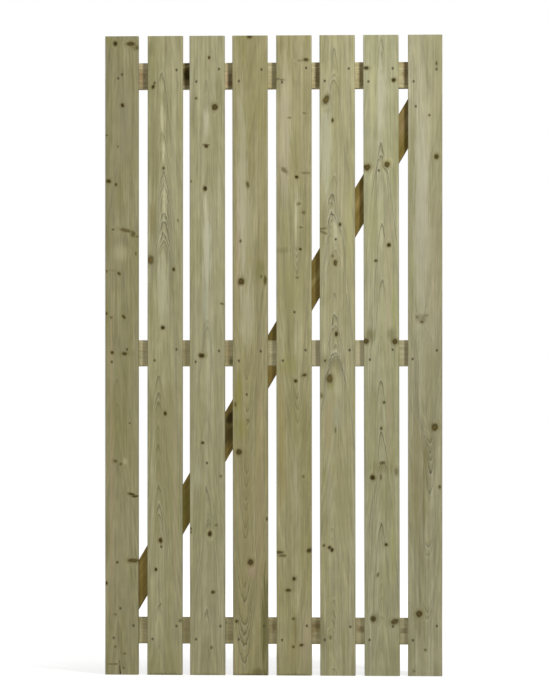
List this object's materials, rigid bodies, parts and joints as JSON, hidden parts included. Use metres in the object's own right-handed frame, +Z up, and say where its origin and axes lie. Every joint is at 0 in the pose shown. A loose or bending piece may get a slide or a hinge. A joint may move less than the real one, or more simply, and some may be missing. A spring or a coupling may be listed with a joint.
{
  "type": "paling gate",
  "caption": "Ledged and braced garden gate leaf: upright softwood palings nailed to ledges, with a diagonal brace in each bay behind them.",
  "frame": {"origin": "centre of the lower hinge's seat, on the back face of the bottom ledge, 100 mm in from the hinge edge of the leaf", "axes": "+Z up along the palings, +X along the ledges from the hinge edge to the latch edge, +Y out of the back, so the palings face -Y"},
  "size_m": [0.95, 0.058, 1.8],
  "materials": {
    "paling_timber": "planed, pressure-treated softwood, grey-green",
    "ledge_timber": "planed, pressure-treated softwood, pale straw-green",
    "brace_timber": "planed, pressure-treated softwood, olive-brown"
  },
  "bodies": {
    "root": {"paling_1": "paling_timber", "paling_2": "paling_timber", "paling_3": "paling_timber", "paling_4": "paling_timber", "paling_5": "paling_timber", "paling_6": "paling_timber", "paling_7": "paling_timber", "paling_8": "paling_timber", "top_ledge": "ledge_timber", "middle_ledge": "ledge_timber", "bottom_ledge": "ledge_timber", "upper_brace": "brace_timber", "lower_brace": "brace_timber"}
  },
  "joints": []
}
